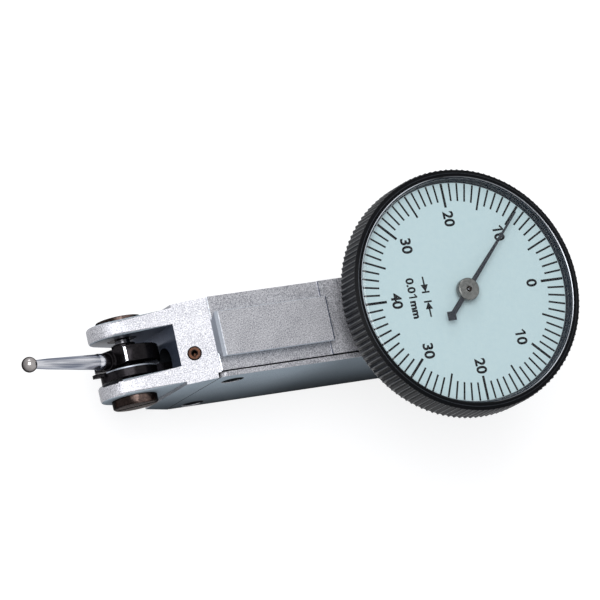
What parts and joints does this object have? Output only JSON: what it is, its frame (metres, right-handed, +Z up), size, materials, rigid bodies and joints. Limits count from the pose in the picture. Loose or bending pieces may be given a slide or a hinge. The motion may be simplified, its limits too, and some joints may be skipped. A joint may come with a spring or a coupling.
{
  "type": "lever dial test indicator",
  "caption": "Lever dial test indicator: a swivelling ball stylus in a forked body works a sector and crown gear train that turns the pointer under a rotating bezel.",
  "frame": {"origin": "on the flat back of the body, under the centre of the dial", "axes": "+Z up along the dial's axis and out of its face; -X towards the stylus; +Y completes a right-handed frame, with the side cover on -Y"},
  "size_m": [0.075, 0.032, 0.0285],
  "materials": {
    "satin_steel": "satin, vapour blasted flats with bright chamfers",
    "black_steel": "black oxide, half gloss",
    "polished_steel": "ground and polished",
    "brass": "machined",
    "ruby": "polished synthetic ruby",
    "dial_face": "matt, pale blue-grey",
    "black_paint": "half gloss black paint",
    "bezel_black": "satin black anodised, bright rim",
    "clear": "clear moulded crystal"
  },
  "bodies": {
    "body": {"body_frame": "satin_steel", "side_cover": "satin_steel", "cover_screw_front_upper": "black_steel", "cover_screw_front_lower": "black_steel", "cover_screw_rear_upper": "black_steel", "cover_screw_rear_lower": "black_steel", "pivot_screw_near": "black_steel", "pivot_screw_far": "black_steel", "ear_bearing_near": "black_steel", "ear_bearing_far": "black_steel", "lever_stop_screw": "brass", "sector_jewel_near": "ruby", "sector_jewel_far": "ruby", "crown_jewel_near": "ruby", "crown_jewel_far": "ruby", "centre_jewel_lower": "ruby", "centre_jewel_upper": "ruby", "gear_bridge": "brass", "bridge_pillar_1": "brass", "bridge_pillar_2": "brass", "bridge_pillar_3": "brass", "bridge_screw_1": "black_steel", "bridge_screw_2": "black_steel", "bridge_screw_3": "black_steel", "dial_case": "black_paint", "case_screw_front": "black_steel", "case_screw_rear": "black_steel", "hairspring": "brass", "spring_stud": "brass"},
    "lever": {"measuring_lever": "black_steel", "lever_pivot_pin": "polished_steel", "friction_washer": "black_steel", "clutch_nut": "black_steel"},
    "stylus": {"stylus_holder": "black_steel", "stylus_shank": "polished_steel", "contact_ball": "polished_steel"},
    "sector": {"sector_gear": "brass", "sector_arbor": "polished_steel"},
    "crown": {"crown_gear": "brass", "crown_arbor": "polished_steel"},
    "pointer": {"centre_arbor": "polished_steel", "spring_collet": "brass", "pointer": "black_paint", "pointer_hub": "polished_steel"},
    "bezel": {"bezel": "bezel_black", "crystal": "clear", "dial_plate": "dial_face", "retaining_wire": "polished_steel"}
  },
  "joints": [
    {"name": "lever_swing", "type": "hinge", "parent": "body", "child": "lever", "pos_m": [-0.0416, 0, 0.0106], "axis": [0, 1, 0], "range_deg": [0, 2.86], "stiffness_Nm_per_rad": 0.08, "springref_deg": -2.43},
    {"name": "stylus_swivel", "type": "hinge", "parent": "lever", "child": "stylus", "pos_m": [-0.0416, 0, 0.0106], "axis": [0, 1, 0], "range_deg": [-134, 85]},
    {"name": "sector_swing", "type": "hinge", "parent": "body", "child": "sector", "pos_m": [-0.0084, 0, 0.0106], "axis": [0, 1, 0], "range_deg": [-12.98, 0]},
    {"name": "crown_turn", "type": "hinge", "parent": "body", "child": "crown", "pos_m": [0, 0, 0.0106], "axis": [0, 1, 0], "range_deg": [0, 77.89]},
    {"name": "pointer_turn", "type": "hinge", "parent": "body", "child": "pointer", "pos_m": [0, 0, 0.0262], "axis": [0, 0, 1], "range_deg": [-405, 0]},
    {"name": "bezel_turn", "type": "hinge", "parent": "body", "child": "bezel", "pos_m": [0, 0, 0.0262], "axis": [0, 0, 1], "continuous": true}
  ],
  "couplings": [
    {"joint": "sector_swing", "follows": "lever_swing", "ratio": -4.5333},
    {"joint": "crown_turn", "follows": "lever_swing", "ratio": 27.2},
    {"joint": "pointer_turn", "follows": "lever_swing", "ratio": -141.44}
  ]
}
